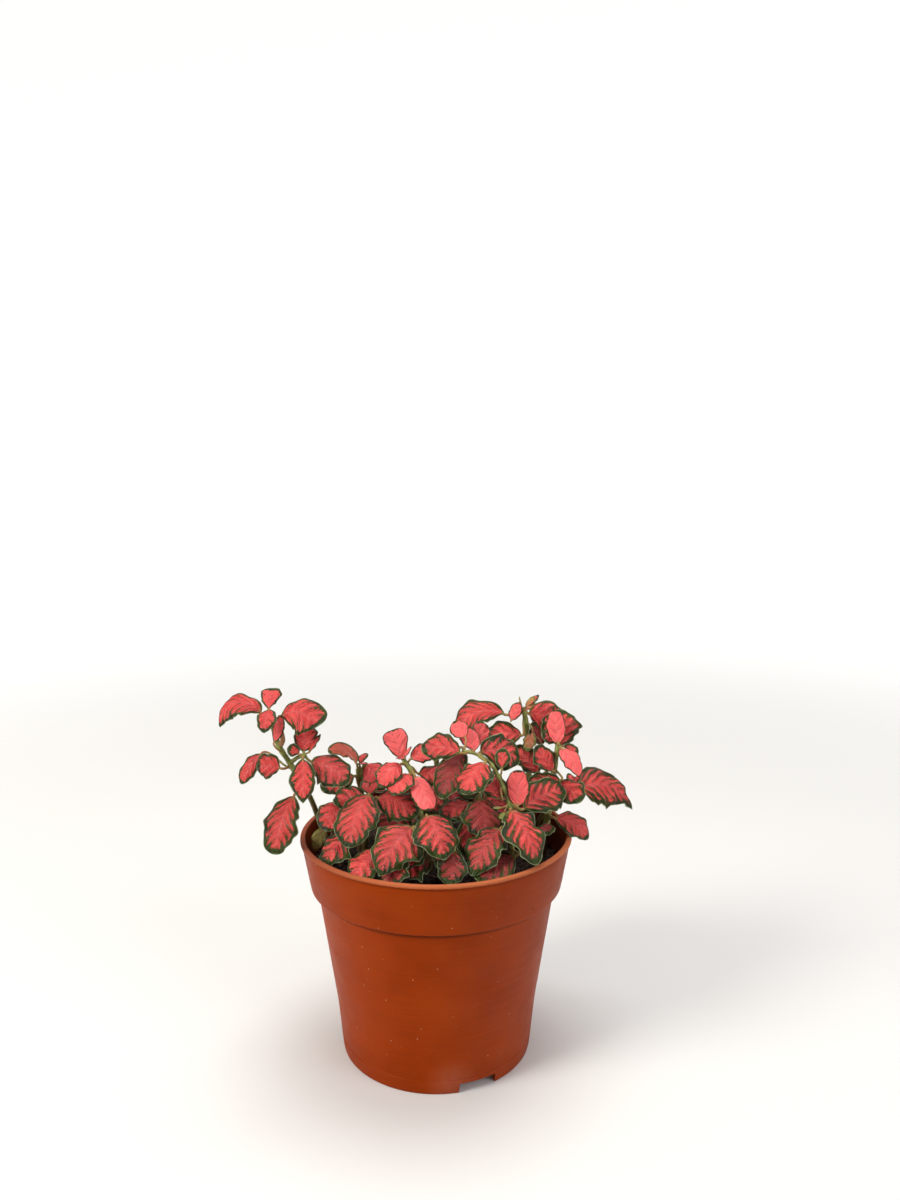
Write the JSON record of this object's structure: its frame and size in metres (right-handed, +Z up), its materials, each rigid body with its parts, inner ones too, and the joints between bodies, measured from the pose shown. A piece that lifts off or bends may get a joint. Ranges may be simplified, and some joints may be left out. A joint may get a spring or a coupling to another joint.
{
  "type": "potted nerve plant",
  "caption": "Small nerve plant with pink, green-edged leaves on leafy shoots, growing in dark potting soil in a round tapered nursery pot.",
  "frame": {"origin": "on the pot's axis at the foot ring's underside, the bottom centre of the whole plant and pot", "axes": "+Z up along the pot's axis, -Y towards the plant's front, +X to the right as seen from the front"},
  "size_m": [0.1621, 0.105, 0.1434],
  "materials": {
    "pot": "satin",
    "soil": "matte",
    "stem": "satin",
    "leaf_young": "satin",
    "leaf_bright": "satin",
    "leaf_grown": "satin"
  },
  "bodies": {
    "root": {"pot": "pot", "soil": "soil", "stem_left": "stem", "stem_centre_left": "stem", "stem_front_left": "stem", "stem_centre": "stem", "stem_front_centre": "stem", "stem_right_centre": "stem", "stem_right_back": "stem", "stem_right": "stem", "stem_right_low": "stem", "stem_middle": "stem", "stem_back": "stem", "leaf_left_1": "leaf_bright", "leaf_left_2": "leaf_bright", "leaf_left_3": "leaf_bright", "leaf_left_4": "leaf_bright", "leaf_left_5": "leaf_grown", "leaf_left_6": "leaf_bright", "leaf_left_7": "leaf_bright", "leaf_centre_left_1": "leaf_bright", "leaf_centre_left_2": "leaf_bright", "leaf_centre_left_3": "leaf_grown", "leaf_front_left_1": "leaf_grown", "leaf_front_left_2": "leaf_grown", "leaf_front_left_3": "leaf_grown", "leaf_front_left_4": "leaf_grown", "leaf_centre_1": "leaf_young", "leaf_centre_2": "leaf_young", "leaf_centre_3": "leaf_bright", "leaf_centre_4": "leaf_bright", "leaf_centre_5": "leaf_young", "leaf_front_centre_1": "leaf_grown", "leaf_front_centre_2": "leaf_grown", "leaf_front_centre_3": "leaf_grown", "leaf_right_centre_1": "leaf_grown", "leaf_right_centre_2": "leaf_young", "leaf_right_centre_3": "leaf_grown", "leaf_right_centre_4": "leaf_grown", "leaf_right_centre_5": "leaf_young", "leaf_right_centre_6": "leaf_grown", "leaf_right_centre_7": "leaf_grown", "leaf_right_centre_8": "leaf_grown", "leaf_right_centre_9": "leaf_grown", "leaf_right_back_1": "leaf_bright", "leaf_right_back_2": "leaf_bright", "leaf_right_back_3": "leaf_grown", "leaf_right_back_4": "leaf_grown", "leaf_right_back_5": "leaf_grown", "leaf_right_1": "leaf_grown", "leaf_right_2": "leaf_young", "leaf_right_3": "leaf_young", "leaf_right_4": "leaf_grown", "leaf_right_5": "leaf_grown", "leaf_right_6": "leaf_grown", "leaf_right_low_1": "leaf_grown", "leaf_middle_1": "leaf_grown", "leaf_back_1": "leaf_grown", "leaf_back_2": "leaf_grown", "leaf_back_3": "leaf_grown"}
  },
  "joints": []
}
